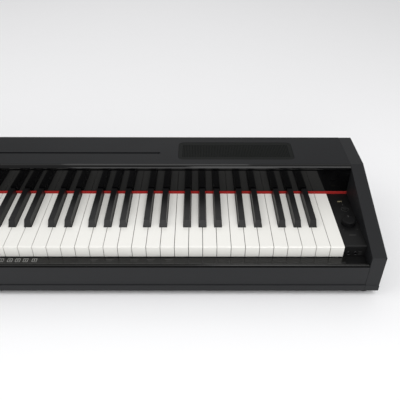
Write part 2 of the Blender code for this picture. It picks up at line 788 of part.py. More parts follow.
def speaker_mesh():
    """Oval driver: flange, basket with its cone hollow, and magnet, hung from its flange's top."""
    flange = outline_mesh(grille_outline(FLANGE_OVERLAP), FLANGE_THICKNESS)
    flange.transform(Matrix.Translation((0, 0, -FLANGE_THICKNESS / 2)))
    stretch = CONE_LENGTH / CONE_WIDTH
    radius = CONE_WIDTH / 2
    back_radius = radius * CONE_BACK_SHARE
    depth = CONE_DEPTH + CONE_WALL
    middle = Matrix.Translation((0, 0, -depth / 2))
    basket = round_mesh(radius + CONE_WALL, depth, middle, back_radius + CONE_WALL, CONE_STEPS, stretch)
    magnet_top = -depth + CONE_WALL / 2
    magnet_height = MAGNET_HEIGHT + CONE_WALL / 2
    magnet_place = Matrix.Translation((0, 0, magnet_top - magnet_height / 2))
    magnet = round_mesh(MAGNET_RADIUS, magnet_height, magnet_place, steps=CONE_STEPS)
    body = boolean_mesh(boolean_mesh(flange, basket, "UNION"), magnet, "UNION")
    lift = CONE_WALL
    hollow_place = Matrix.Translation((0, 0, (lift - CONE_DEPTH) / 2))
    hollow = round_mesh(radius, CONE_DEPTH + lift, hollow_place, back_radius, CONE_STEPS, stretch)
    return boolean_mesh(body, hollow, "DIFFERENCE")


def add_speakers():
    finish = surface("speaker_black", (0.025, 0.025, 0.025), 0.6)
    for name, (x, y) in grille_places():
        add_piece(f"{name}_speaker", speaker_mesh(), finish, (x, y, COVER_UNDERSIDE - SEAT_GAP))


def cheek_side(inset):
    """Side outline of a cheek block, or of the hollow under its skin."""
    base = BED_TOP + SEAT_GAP
    front = RAIL_BACK + SEAT_GAP + inset
    face = KEY_FRONT + CHEEK_SETBACK + inset
    back = TOPS_REAR - inset
    top = KEY_LEVEL - inset
    nose = CHEEK_NOSE_RADIUS
    well = KEY_LEVEL - WELL_DROP - inset
    bottom = base - inset
    return [
        (front, bottom),
        (back, bottom),
        (back, top),
        *arc((face + nose, top - nose), nose, 90, 180, 3),
        (face, well),
        (front, well),
    ]


def cheek_width(inset):
    return CHEEK_WIDTH - CHEEK_KEY_GAP - SEAT_GAP - 2 * inset


def cheek_x(side):
    return side * (INNER_HALF - SEAT_GAP - cheek_width(0) / 2)


def add_cheek(name, side, finish):
    """Moulded shell beside the keys, open below, with a well in front of it."""
    block = add_piece(name, outline_mesh(cheek_side(0), cheek_width(0), SIDE_VIEW), finish, (cheek_x(side), 0, 0))
    hollow = outline_mesh(cheek_side(CHEEK_WALL), cheek_width(CHEEK_WALL), SIDE_VIEW)
    hollow.transform(Matrix.Translation((cheek_x(side), 0, 0)))
    add_boolean(block, "hollow", hollow)
    return block


def jack_places():
    """X and Z of the two headphone sockets."""
    x = INNER_HALF - JACK_FROM_INNER
    z = KEY_LEVEL - JACK_DROP
    return ((x, z), (x - JACK_SPACING, z))


def bore_along_y(x, z, radius, low_y, high_y):
    turn = Matrix.Rotation(math.radians(90), 4, "X")
    place = Matrix.Translation((x, (low_y + high_y) / 2, z)) @ turn
    return round_mesh(radius, high_y - low_y, place, steps=12)


def add_cheeks():
    finish = surface("cheek_black", (0.022, 0.022, 0.023), 0.4)
    add_cheek("left_cheek_block", -1, finish)
    right = add_cheek("right_cheek_block", 1, finish)
    face = KEY_FRONT + CHEEK_SETBACK
    for number, (x, z) in enumerate(jack_places(), 1):
        bore = bore_along_y(x, z, JACK_RADIUS, face - CHEEK_WALL, face + 2 * CHEEK_WALL)
        add_boolean(right, f"socket_hole_{number}", bore)
    for hole, inset, setback, radius in (
        ("knob_hole", KNOB_FROM_INNER, KNOB_SETBACK, SHAFT_RADIUS),
        ("button_hole", BUTTON_FROM_INNER, BUTTON_SETBACK, BUTTON_RADIUS),
    ):
        place = Matrix.Translation((INNER_HALF - inset, KEY_FRONT + setback, KEY_LEVEL))
        add_boolean(right, hole, round_mesh(radius + RUNNING_GAP, 4 * CHEEK_WALL, place))


def add_headphone_jacks():
    """Block behind the cheek's front wall with two blind sockets."""
    finish = surface("socket_black", (0.015, 0.015, 0.016), 0.5)
    front = KEY_FRONT + CHEEK_SETBACK + CHEEK_WALL + SEAT_GAP
    (right_x, z), (left_x, _) = jack_places()
    reach = JACK_RADIUS + JACK_WALL
    low = (left_x - reach, front, z - reach)
    high = (right_x + reach, front + JACK_DEPTH + JACK_BACK, z + reach)
    block = add_piece("headphone_jack_block", box_mesh(low, high), finish)
    for number, (x, _) in enumerate(jack_places(), 1):
        bore = bore_along_y(x, z, JACK_RADIUS, front - JACK_WALL, front + JACK_DEPTH)
        add_boolean(block, f"socket_{number}", bore)


def add_controls():
    """Volume knob on its shaft and power button with its retaining flange."""
    knob_finish = surface("knob_black", (0.02, 0.02, 0.021), 0.5)
    base = SEAT_GAP
    knob_profile = [
        (0, base + KNOB_HEIGHT),
        (KNOB_RADIUS - 2 * KNOB_DOME, base + KNOB_HEIGHT),
        (KNOB_RADIUS - KNOB_DOME, base + KNOB_HEIGHT - KNOB_DOME / 2),
        (KNOB_RADIUS - KNOB_DOME / 2, base + KNOB_HEIGHT - KNOB_DOME),
        (KNOB_RADIUS, base),
        (SHAFT_RADIUS, base),
        (SHAFT_RADIUS, -SHAFT_LENGTH),
        (0, -SHAFT_LENGTH),
    ]
    axis = add_anchor("knob_axis", (INNER_HALF - KNOB_FROM_INNER, KEY_FRONT + KNOB_SETBACK, KEY_LEVEL))
    add_turned("volume_knob", knob_profile, knob_finish, ROUND_STEPS, axis)

    button_finish = surface("button_black", (0.03, 0.03, 0.03), 0.35)
    flange_top = -CHEEK_WALL - SEAT_GAP
    button_profile = [
        (0, BUTTON_RISE),
        (BUTTON_RADIUS, BUTTON_RISE),
        (BUTTON_RADIUS, flange_top),
        (BUTTON_RADIUS + BUTTON_FLANGE, flange_top),
        (BUTTON_RADIUS + BUTTON_FLANGE, flange_top - BUTTON_FLANGE_THICKNESS),
        (0, flange_top - BUTTON_FLANGE_THICKNESS),
    ]
    axis = add_anchor("button_axis", (INNER_HALF - BUTTON_FROM_INNER, KEY_FRONT + BUTTON_SETBACK, KEY_LEVEL))
    add_turned("power_button", button_profile, button_finish, ROUND_STEPS, axis)


def add_socket_panel():
    """Plate in the rear panel: a square data port between two round sockets."""
    finish = surface("socket_panel_black", (0.02, 0.02, 0.021), 0.5)
    z = CASE_BOTTOM + SOCKET_PANEL_RISE
    half_width = SOCKET_PANEL_WIDTH / 2
    half_height = SOCKET_PANEL_HEIGHT / 2
    low = (SOCKET_PANEL_X - half_width, PANEL_FRONT, z - half_height)
    high = (SOCKET_PANEL_X + half_width, REAR, z + half_height)
    plate = add_piece("rear_socket_panel", box_mesh(low, high), finish)
    inner_end = PANEL_FRONT - JACK_DEPTH
    sunk = PANEL_FRONT + PANEL_THICKNESS / 2
    outside = REAR + PANEL_THICKNESS
    mouth_depth = inner_end + JACK_BACK
    for number, side in ((1, -1), (2, 1)):
        x = SOCKET_PANEL_X + side * SOCKET_PITCH
        add_boolean(plate, f"barrel_{number}", bore_along_y(x, z, SOCKET_OUTER_RADIUS, inner_end, sunk), "UNION")
        add_boolean(plate, f"bore_{number}", bore_along_y(x, z, JACK_RADIUS, mouth_depth, outside))
    half_usb = USB_WIDTH / 2
    half_usb_height = USB_HEIGHT / 2
    wall = JACK_WALL
    low = (SOCKET_PANEL_X - half_usb - wall, inner_end, z - half_usb_height - wall)
    high = (SOCKET_PANEL_X + half_usb + wall, sunk, z + half_usb_height + wall)
    add_boolean(plate, "port_shell", box_mesh(low, high), "UNION")
    low = (SOCKET_PANEL_X - half_usb, mouth_depth, z - half_usb_height)
    high = (SOCKET_PANEL_X + half_usb, outside, z + half_usb_height)
    add_boolean(plate, "port", box_mesh(low, high))


def add_circuit_board():
    """Main board on four posts behind the key frame, with its largest chips."""
    finish = surface("circuit_green", (0.02, 0.09, 0.04), 0.5)
    front = HEEL_Y + FRAME_MARGIN + CIRCUIT_CLEARANCE
    back = PANEL_FRONT - CIRCUIT_CLEARANCE
    underside = BED_TOP + SEAT_GAP + POST_HEIGHT
    board_top = underside + CIRCUIT_THICKNESS
    left = CIRCUIT_X - CIRCUIT_LENGTH / 2
    right = CIRCUIT_X + CIRCUIT_LENGTH / 2
    board = add_piece("main_circuit_board", box_mesh((left, front, underside), (right, back, board_top)), finish)
    posts = []
    post_height = POST_HEIGHT + CIRCUIT_THICKNESS / 2
    for x in (left + POST_INSET, right - POST_INSET):
        for y in (front + POST_INSET, back - POST_INSET):
            place = Matrix.Translation((x, y, underside - POST_HEIGHT + post_height / 2))
            posts.append(round_mesh(POST_RADIUS, post_height, place, steps=8))
    add_boolean(board, "posts", joined_mesh(posts), "UNION")
    chips = []
    middle = (front + back) / 2
    for share, length, width in ((0.2, 0.028, 0.014), (0.45, 0.020, 0.020), (0.75, 0.040, 0.012)):
        x = left + share * CIRCUIT_LENGTH
        low = (x - length / 2, middle - width / 2, board_top - CHIP_SINK)
        chips.append(box_mesh(low, (x + length / 2, middle + width / 2, board_top + CHIP_HEIGHT)))
    add_boolean(board, "chips", joined_mesh(chips), "UNION")


PIANO = "digital_piano"
CUTTERS = "cutters"


def main():
    clear_scene()
    new_collection(PIANO)
    new_collection(CUTTERS)
    add_keys()
    add_key_frame()
    add_boards()
    add_end_panels()
    add_front_rail()
    add_key_slip()
    add_felt()
    add_fallboard()
    add_top_cover()
    add_grilles()
    add_speakers()
    add_cheeks()
    add_headphone_jacks()
    add_controls()
    add_socket_panel()
    add_circuit_board()
    add_feet()


main()
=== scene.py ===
"""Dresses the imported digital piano: finishes, grilles, controls, printed marks and stage.

Metres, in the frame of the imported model: X towards the highest note, Y to the back, Z up.
"""

import math

import bmesh
import bpy
from mathutils import Matrix, Vector


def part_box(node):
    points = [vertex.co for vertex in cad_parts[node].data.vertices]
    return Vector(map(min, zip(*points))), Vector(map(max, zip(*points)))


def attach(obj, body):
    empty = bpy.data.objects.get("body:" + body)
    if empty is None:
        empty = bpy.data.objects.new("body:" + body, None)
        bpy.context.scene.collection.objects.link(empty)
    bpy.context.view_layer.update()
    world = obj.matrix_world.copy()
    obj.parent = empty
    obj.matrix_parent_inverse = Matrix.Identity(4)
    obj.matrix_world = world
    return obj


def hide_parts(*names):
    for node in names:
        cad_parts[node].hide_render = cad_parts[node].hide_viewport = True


bl_info = {
    "name": "Digital piano dressing",
    "version": (1, 0, 0),
    "blender": (4, 5, 0),
    "location": "3D View > Sidebar > Piano",
    "description": "Finishes and fine parts for the slab digital piano",
    "category": "Object",
}

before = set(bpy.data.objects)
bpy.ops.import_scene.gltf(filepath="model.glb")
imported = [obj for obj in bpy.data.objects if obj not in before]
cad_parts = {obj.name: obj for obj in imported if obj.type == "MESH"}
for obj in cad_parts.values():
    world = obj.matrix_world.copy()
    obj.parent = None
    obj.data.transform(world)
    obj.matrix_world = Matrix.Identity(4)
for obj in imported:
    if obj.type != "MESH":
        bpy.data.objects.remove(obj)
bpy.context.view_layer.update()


def corners(box):
    """Lowest and highest corner of a box."""
    return tuple(Vector(corner) for corner in box)


KEY_LOW, KEY_HIGH = corners(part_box("white_key_C8"))
SLIP_HIGH = corners(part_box("key_slip"))[1]
CHEEK_HIGH = corners(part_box("right_cheek_block"))[1]
KNOB_LOW, KNOB_HIGH = corners(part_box("volume_knob"))
KNOB_CENTRE = (KNOB_LOW + KNOB_HIGH) / 2
BUTTON_CENTRE = sum(corners(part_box("power_button")), Vector()) / 2
SOCKETS_CENTRE = sum(corners(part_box("headphone_jack_block")), Vector()) / 2
REAR_LOW, REAR_HIGH = corners(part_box("rear_panel"))

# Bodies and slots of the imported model
CASE = "case"
KNOB = "volume_knob"

# The photograph's camera, placed from the top front right corner of the last white key's space
HALF_KEY_GAP = 0.0005
CAMERA_OFFSET = Vector((-0.2429, -0.6046, 0.5486))
CAMERA_PITCH = math.radians(36.77)
CAMERA_YAW = math.radians(0.29)
CAMERA_ROLL = math.radians(-0.23)
CAMERA_LENS = 44.4
CAMERA_SENSOR = 36.0
CAMERA_CLIP = 0.05

# Studio
FLOOR_REACH = 12.0
WORLD_STRENGTH = 0.55
BACKDROP_STRENGTH = 1.0
LIGHT_AIM = Vector((0.15, 0, 0.08))
STUDIO_LIGHTS = (  # name, place, size and power
    ("key_light", (0.9, -1.2, 2.2), 1.6, 27.0),
    ("fill_light", (-1.6, -0.6, 1.9), 1.8, 12.0),
    ("back_light", (0.1, 1.8, 1.6), 1.2, 3.0),
    ("front_light", (0.2, -2.4, 0.55), 1.4, 16.0),
)

# Grain shared by the finishes
SMUDGE_SCALE = 14.0
SMUDGE_DETAIL = 5.0
COAT_ROUGHNESS = 0.05
BUMP_STRENGTH = 0.6

# Grilles
PLATE_CORNER = 0.009
PLATE_CHAMFER = 0.0003
PLATE_HOLE_CORNER = 0.00001
MERGE_DISTANCE = 0.00002
CORNER_STEPS = 6
HOLE_SIDES = 8
CLOTH_THICKNESS = 0.0002

# Volume knob
RIB_COUNT = 28
RIB_WIDTH = 0.0007
RIB_DEPTH = 0.0009
RIB_SHORTFALL = 0.0045  # how much shorter a rib is than the knob
RIB_INSET = 0.0006
RIB_DROP = 0.001
POINTER_SIZE = (0.0009, 0.005, 0.00012)
POINTER_REACH = 0.62  # share of the knob's radius

# Headphone sockets and power button
CHEEK_FACE = KEY_LOW.y + 0.003
SOCKET_HALF_SPACING = 0.006
SOCKET_RADIUS = 0.0033
COLLAR_BORE = 0.0029
COLLAR_DEPTH = 0.002
COLLAR_RISE = 0.0003
COLLAR_CROWN = 0.0005
COLLAR_STEPS = 32
# Pale flat ring on the cheek round the power button: a painted highlight of the button's rim
HIGHLIGHT_RING_OUTER = 0.0068
HIGHLIGHT_RING_INNER = 0.0064
HIGHLIGHT_RING_STEPS = 40

# Printed marks
SURFACE_LIFT = 0.00006  # how far a printed mark stands on its surface
INK = 0.00004  # thickness of the print
STRIP_DROP = 0.002  # from the slip's ridge to its flat strip
STRIP_SETBACK = 0.0115  # from the key fronts to the middle of the print
DIGITS_X = (0.0436, 0.0580, 0.0709, 0.0838, 0.0984)
DIGIT_SIZE = 0.005
DIGIT_BOX = 0.0072
BOX_LINE = 0.0005
LABELS_X = (0.1959, 0.2222, 0.2636, 0.2901, 0.3200)
LABEL_WIDTHS = (0.013, 0.009)  # upper and lower line
LABEL_LINE = 0.0006
LABEL_PITCH = 0.0034
LABEL_SHIFT = 0.0018
# Strokes on top of the right cheek block: place from the centre of a control, and size
BUTTON_STROKES = (
    ((-0.001, 0.013), (0.0007, 0.004)),
)
KNOB_STROKES = (  # the ends of its turn, and a line in front of it
    ((-0.012, -0.016), (0.002, 0.0007)),
    ((0.012, -0.016), (0.002, 0.0007)),
    ((0, -0.031), (0.012, 0.0008)),
)
SYMBOL_STROKES = (  # a small comb behind the button
    ((-0.0045, 0.0233), (0.0075, 0.0009)),
    ((-0.0071, 0.0219), (0.0008, 0.0019)),
    ((-0.0045, 0.0219), (0.0008, 0.0019)),
    ((-0.0019, 0.0219), (0.0008, 0.0019)),
)
SOCKET_LINE_SIZE = (0.006, INK, 0.0007)
SOCKET_LINE_X = 0.0135  # from the middle of the sockets
SOCKET_LINES_Z = (0.003, -0.002)

# Case screws on the back
SCREW_COLUMNS = 9
SCREW_END_MARGIN = 0.03
SCREW_EDGE_MARGIN = 0.012
SCREW_RECESS = 0.25  # shares of the head's radius
SCREW_RECESS_RIM = 0.3
SCREW_FLAT = 0.8
SCREW_RISE = 0.0004
SCREW_SHOULDER = 0.0001
SCREW_SINK = 0.0003
SCREW_STEPS = 24

# Colour, roughness, grain scale, grain depth, mottle and smudge of each finish, then what else its
# shader has. A colour of None comes from the settings.
FINISHES = {
    "white_key_finish": (None, 0.24, 1400, 0.000004, 0.04, 0.10, {"coat": 0.25}),
    "black_key_finish": ((0.006, 0.006, 0.0065), 0.36, 2200, 0.00002, 0.2, 0.10, {"gloss": 0.3}),
    "cover_finish": ((0.009, 0.0095, 0.0108), 0.5, 1800, 0.00003, 0.15, 0.08, {"gloss": 0.18}),
    "case_finish": (None, 0.5, 1600, 0.00003, 0.15, 0.10, {"gloss": 0.25}),
    "board_finish": ((0.022, 0.022, 0.023), 0.65, 700, 0.00006, 0.2, 0.10, {}),
    "moulding_finish": ((0.006, 0.006, 0.0062), 0.42, 1500, 0.00003, 0.15, 0.12, {"gloss": 0.22}),
    "slip_finish": ((0.005, 0.005, 0.0046), 0.14, 900, 0.000004, 0.1, 0.08, {"gloss": 0.32}),
    "fallboard_finish": ((0.002, 0.002, 0.0022), 0.07, 500, 0.000002, 0.1, 0.04, {"gloss": 0.3}),
    "felt_finish": (None, 0.95, 2600, 0.0004, 0.3, 0.02, {"sheen": 0.15, "gloss": 0.1}),
    "grille_finish": ((0.004, 0.005, 0.0044), 0.6, 2500, 0.00003, 0.2, 0.10, {"gloss": 0.15}),
    "speaker_finish": ((0.012, 0.012, 0.012), 0.75, 600, 0.00005, 0.2, 0.10, {}),
    "frame_finish": ((0.045, 0.045, 0.05), 0.60, 900, 0.00003, 0.2, 0.10, {}),
    "circuit_finish": ((0.015, 0.085, 0.035), 0.45, 500, 0.00004, 0.4, 0.15, {}),
    "knob_finish": ((0.003, 0.003, 0.0033), 0.5, 2400, 0.00003, 0.2, 0.10, {"gloss": 0.14}),
    "button_finish": ((0.012, 0.012, 0.012), 0.38, 1500, 0.00002, 0.1, 0.10, {"gloss": 0.3}),
    "rubber_finish": ((0.020, 0.020, 0.020), 0.85, 1200, 0.00006, 0.25, 0.08, {}),
    "print_finish": (None, 0.55, 1500, 0.00001, 0.1, 0.05, {}),
    # Faint grey print; the same colour also paints the highlight ring round the power button
    "faint_print_and_highlight_finish": ((0.06, 0.06, 0.058), 0.55, 1500, 0.00001, 0.1, 0.05, {}),
    "gold_print_finish": ((0.42, 0.36, 0.22), 0.45, 1500, 0.00001, 0.1, 0.05, {}),
    "screw_finish": ((0.09, 0.09, 0.095), 0.35, 1500, 0.00001, 0.1, 0.10, {"metallic": 1.0}),
    "floor_paper": ((0.95, 0.95, 0.96), 0.9, 200, 0.00001, 0.01, 0.02, {}),
}
KEY_KINDS = ("white_key", "black_key")  # the finishes of keys are named after these
NODE_FINISHES = {
    "top_cover": "cover_finish",
    "left_end_panel": "case_finish",
    "right_end_panel": "case_finish",
    "front_rail": "case_finish",
    "bottom_board": "board_finish",
    "rear_panel": "board_finish",
    "rear_socket_panel": "moulding_finish",
    "headphone_jack_block": "moulding_finish",
    "left_cheek_block": "moulding_finish",
    "right_cheek_block": "moulding_finish",
    "key_slip": "slip_finish",
    "fallboard": "fallboard_finish",
    "key_felt": "felt_finish",
    "left_speaker_grille": "grille_finish",
    "right_speaker_grille": "grille_finish",
    "left_speaker": "speaker_finish",
    "right_speaker": "speaker_finish",
    "key_frame": "frame_finish",
    "main_circuit_board": "circuit_finish",
    "volume_knob": "knob_finish",
    "power_button": "button_finish",
    "front_left_foot": "rubber_finish",
    "front_right_foot": "rubber_finish",
    "rear_left_foot": "rubber_finish",
    "rear_right_foot": "rubber_finish",
}


# Finishes

def grain_group():
    """Fine grain and broad smudges: a colour, a roughness and a height."""
    group = bpy.data.node_groups.new("fine_grain", "ShaderNodeTree")
    for name, kind, value in (
        ("Color", "NodeSocketColor", (0.5, 0.5, 0.5, 1.0)),
        ("Roughness", "NodeSocketFloat", 0.5),
        ("Grain Scale", "NodeSocketFloat", 900.0),
        ("Mottle", "NodeSocketFloat", 0.1),
        ("Smudge", "NodeSocketFloat", 0.1),
    ):
        socket = group.interface.new_socket(name=name, in_out="INPUT", socket_type=kind)
        socket.default_value = value
    for name, kind in (
        ("Color", "NodeSocketColor"),
        ("Roughness", "NodeSocketFloat"),
        ("Height", "NodeSocketFloat"),
    ):
        group.interface.new_socket(name=name, in_out="OUTPUT", socket_type=kind)
    nodes, links = group.nodes, group.links
    inputs = nodes.new("NodeGroupInput")
    outputs = nodes.new("NodeGroupOutput")
    place = nodes.new("ShaderNodeTexCoord")
    fine = nodes.new("ShaderNodeTexNoise")
    broad = nodes.new("ShaderNodeTexNoise")
    broad.inputs["Scale"].default_value = SMUDGE_SCALE
    broad.inputs["Detail"].default_value = SMUDGE_DETAIL
    links.new(place.outputs["Object"], fine.inputs["Vector"])
    links.new(place.outputs["Object"], broad.inputs["Vector"])
    links.new(inputs.outputs["Grain Scale"], fine.inputs["Scale"])
    centred = nodes.new("ShaderNodeMath")
    centred.operation = "SUBTRACT"
    centred.inputs[1].default_value = 0.5
    links.new(broad.outputs["Fac"], centred.inputs[0])
    tone = nodes.new("ShaderNodeMath")
    tone.operation = "MULTIPLY_ADD"
    tone.inputs[2].default_value = 1.0
    links.new(centred.outputs[0], tone.inputs[0])
    links.new(inputs.outputs["Mottle"], tone.inputs[1])
    shade = nodes.new("ShaderNodeHueSaturation")
    links.new(inputs.outputs["Color"], shade.inputs["Color"])
    links.new(tone.outputs[0], shade.inputs["Value"])
    rough = nodes.new("ShaderNodeMath")
    rough.operation = "MULTIPLY_ADD"
    links.new(centred.outputs[0], rough.inputs[0])
    links.new(inputs.outputs["Smudge"], rough.inputs[1])
    links.new(inputs.outputs["Roughness"], rough.inputs[2])
    links.new(shade.outputs["Color"], outputs.inputs["Color"])
    links.new(rough.outputs[0], outputs.inputs["Roughness"])
    links.new(fine.outputs["Fac"], outputs.inputs["Height"])
    return group


def make_finish(name, chosen_colour=None):
    """One of the finishes: the shared grain group with its own values."""
    colour, roughness, grain, depth, mottle, smudge, extras = FINISHES[name]
    group = bpy.data.node_groups.get("fine_grain") or grain_group()
    made = bpy.data.materials.new(name)
    made.use_nodes = True
    nodes, links = made.node_tree.nodes, made.node_tree.links
    shader = nodes["Principled BSDF"]
    shader.inputs["Metallic"].default_value = extras.get("metallic", 0.0)
    shader.inputs["Coat Weight"].default_value = extras.get("coat", 0.0)
    shader.inputs["Coat Roughness"].default_value = COAT_ROUGHNESS
    shader.inputs["Specular IOR Level"].default_value = extras.get("gloss", 0.5)
    shader.inputs["Sheen Weight"].default_value = extras.get("sheen", 0.0)
    texture = nodes.new("ShaderNodeGroup")
    texture.node_tree = group
    texture.inputs["Color"].default_value = (*(colour or chosen_colour), 1.0)
    texture.inputs["Roughness"].default_value = roughness
    texture.inputs["Grain Scale"].default_value = grain
    texture.inputs["Mottle"].default_value = mottle
    texture.inputs["Smudge"].default_value = smudge
    bump = nodes.new("ShaderNodeBump")
    bump.inputs["Distance"].default_value = depth
    bump.inputs["Strength"].default_value = BUMP_STRENGTH
    links.new(texture.outputs["Color"], shader.inputs["Base Color"])
    links.new(texture.outputs["Roughness"], shader.inputs["Roughness"])
    links.new(texture.outputs["Height"], bump.inputs["Height"])
    links.new(bump.outputs["Normal"], shader.inputs["Normal"])
    return made


# Shapes

def built_mesh(name, build):
    """A mesh that a function fills, with its faces turned outwards."""
    shape = bmesh.new()
    build(shape)
    bmesh.ops.recalc_face_normals(shape, faces=shape.faces)
    mesh = bpy.data.meshes.new(name)
    shape.to_mesh(mesh)
    shape.free()
    return mesh


def bar(shape, centre, size):
    """A small block, such as a printed stroke."""
    matrix = Matrix.Translation(centre) @ Matrix.Diagonal((*size, 1))
    bmesh.ops.create_cube(shape, size=1, matrix=matrix)


def join_rings(shape, pairs, count):
    """Faces between pairs of rings; a ring may be a single point."""
    for first, second in pairs:
        for step in range(count):
            after = (step + 1) % count
            loop = [first[step % len(first)], first[after % len(first)],
                    second[after % len(second)], second[step % len(second)]]
            unique = list(dict.fromkeys(loop))
            if len(unique) > 2:
                shape.faces.new(unique)


def turned(shape, profile, place, steps):
    """A closed profile of (radius, height) points swept round its axis."""
    rings = []
    for radius, height in profile:
        if radius <= 0:
            rings.append([shape.verts.new(place @ Vector((0, 0, height)))])
            continue
        ring = []
        for step in range(steps):
            angle = 2 * math.pi * step / steps
            point = Vector((radius * math.cos(angle), radius * math.sin(angle), height))
            ring.append(shape.verts.new(place @ point))
        rings.append(ring)
    pairs = list(zip(rings, rings[1:]))
    if profile[0][0] > 0:
        pairs.append((rings[-1], rings[0]))
    join_rings(shape, pairs, steps)


def cheek_strokes(shape, centre, strokes):
    """Printed strokes round a control on top of the right cheek block."""
    for (x, y), size in strokes:
        place = (centre.x + x, centre.y + y, CHEEK_HIGH.z + SURFACE_LIFT)
        bar(shape, place, (*size, INK))


def rounded_loop(half_x, half_y, corner):
    """Outline of a rounded rectangle round the origin."""
    points = []
    for quarter, (side_x, side_y) in enumerate(((1, 1), (-1, 1), (-1, -1), (1, -1))):
        for step in range(CORNER_STEPS + 1):
            angle = math.radians(90 * quarter + 90 * step / CORNER_STEPS)
            x = side_x * (half_x - corner) + corner * math.cos(angle)
            y = side_y * (half_y - corner) + corner * math.sin(angle)
            points.append(Vector((x, y)))
    return points


def text_mesh(words, size, place):
    """Printed characters as a thin mesh."""
    curve = bpy.data.curves.new("print", "FONT")
    curve.body = words
    curve.size = size
    curve.align_x = "CENTER"
    curve.align_y = "CENTER"
    curve.extrude = INK / 2
    holder = bpy.data.objects.new("print", curve)
    bpy.context.scene.collection.objects.link(holder)
    graph = bpy.context.evaluated_depsgraph_get()
    mesh = bpy.data.meshes.new_from_object(holder.evaluated_get(graph))
    bpy.data.objects.remove(holder)
    bpy.data.curves.remove(curve)
    mesh.transform(place)
    return mesh


# Pieces

def add_piece(name, mesh, finish, body):
    """A finished piece at the origin that rides on a body."""
    mesh.materials.clear()
    mesh.materials.append(bpy.data.materials[finish])
    obj = bpy.data.objects.new(name, mesh)
    bpy.context.scene.collection.objects.link(obj)
    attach(obj, body)
    return obj


def add_built_piece(name, build, finish, body):
    """A piece whose shape a function builds."""
    return add_piece(name, built_mesh(name, build), finish, body)


def repeat_tree(name, template, finish):
    """A Geometry Nodes tree that puts a template on points, and the socket of its size."""
    tree = bpy.data.node_groups.new(f"{name}_tree", "GeometryNodeTree")
    tree.interface.new_socket(name="Geometry", in_out="INPUT", socket_type="NodeSocketGeometry")
    size = tree.interface.new_socket(name="Size", in_out="INPUT", socket_type="NodeSocketFloat")
    tree.interface.new_socket(name="Geometry", in_out="OUTPUT", socket_type="NodeSocketGeometry")
    nodes, links = tree.nodes, tree.links
    inputs = nodes.new("NodeGroupInput")
    outputs = nodes.new("NodeGroupOutput")
    source = nodes.new("GeometryNodeObjectInfo")
    source.inputs["Object"].default_value = template
    spread = nodes.new("GeometryNodeInstanceOnPoints")
    realize = nodes.new("GeometryNodeRealizeInstances")
    paint = nodes.new("GeometryNodeSetMaterial")
    paint.inputs["Material"].default_value = bpy.data.materials[finish]
    links.new(inputs.outputs["Geometry"], spread.inputs["Points"])
    links.new(source.outputs["Geometry"], spread.inputs["Instance"])
    links.new(inputs.outputs["Size"], spread.inputs["Scale"])
    links.new(spread.outputs["Instances"], realize.inputs["Geometry"])
    links.new(realize.outputs["Geometry"], paint.inputs["Geometry"])
    links.new(paint.outputs["Geometry"], outputs.inputs["Geometry"])
    return tree, size.identifier


def add_repeated_piece(name, build, points, finish, body):
    """Copies of one small shape on points, as a plain mesh."""
    template = bpy.data.objects.new(f"{name}_template", built_mesh(name, build))
    bpy.context.scene.collection.objects.link(template)
    tree, size_input = repeat_tree(name, template, finish)
    mesh = bpy.data.meshes.new(name)
    mesh.from_pydata([tuple(point) for point in points], [], [])
    holder = bpy.data.objects.new(name, mesh)
    bpy.context.scene.collection.objects.link(holder)
    modifier = holder.modifiers.new("spread", "NODES")
    modifier.node_group = tree
    modifier[size_input] = 1.0
    graph = bpy.context.evaluated_depsgraph_get()
    plain = bpy.data.meshes.new_from_object(holder.evaluated_get(graph))
    bpy.data.objects.remove(holder)
    bpy.data.objects.remove(template)
    plain.name = name
    return add_piece(name, plain, finish, body)


# Settings

class PianoFinishes(bpy.types.PropertyGroup):
    """Colours that a user would change"""
    key_white: bpy.props.FloatVectorProperty(
        name="White keys", description="Colour of the white keys", subtype="COLOR", size=3,
        default=(0.84, 0.83, 0.79))
    case_black: bpy.props.FloatVectorProperty(
        name="Case", description="Colour of the case panels", subtype="COLOR", size=3,
        default=(0.0115, 0.012, 0.0132))
    felt_red: bpy.props.FloatVectorProperty(
        name="Felt", description="Colour of the felt strip", subtype="COLOR", size=3,
        default=(0.36, 0.014, 0.012))
    print_white: bpy.props.FloatVectorProperty(
        name="Print", description="Colour of the printed digits", subtype="COLOR", size=3,
        default=(0.42, 0.42, 0.40))


class PianoSizes(bpy.types.PropertyGroup):
    """Sizes that a user would change"""
    hole_pitch: bpy.props.FloatProperty(
        name="Hole pitch", description="Distance between the grille's holes", unit="LENGTH",
        default=0.003)
    hole_radius: bpy.props.FloatProperty(
        name="Hole radius", description="Radius of each hole in the grille", unit="LENGTH",
        default=0.0010)
    grille_rim: bpy.props.FloatProperty(
        name="Grille rim", description="Plain border round the holes", unit="LENGTH",
        default=0.007)
    screw_radius: bpy.props.FloatProperty(
        name="Screw radius", description="Radius of the case screws' heads", unit="LENGTH",
        default=0.0036)


# Operators

class PIANO_OT_finishes(bpy.types.Operator):
    """Give every CAD node its finish"""
    bl_idname = "piano.finishes"
    bl_label = "Finishes"

    def execute(self, context):
        settings = context.scene.piano_finishes
        chosen = {
            "white_key_finish": tuple(settings.key_white),
            "case_finish": tuple(settings.case_black),
            "felt_finish": tuple(settings.felt_red),
            "print_finish": tuple(settings.print_white),
        }
        for name in FINISHES:
            make_finish(name, chosen.get(name))
        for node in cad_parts:
            for slot in bpy.data.objects[node].material_slots:
                slot.material = bpy.data.materials[self.finish_of(node)]
        return {"FINISHED"}

    def finish_of(self, node):
        for kind in KEY_KINDS:
            if node.startswith(kind):
                return f"{kind}_finish"
        return NODE_FINISHES[node]


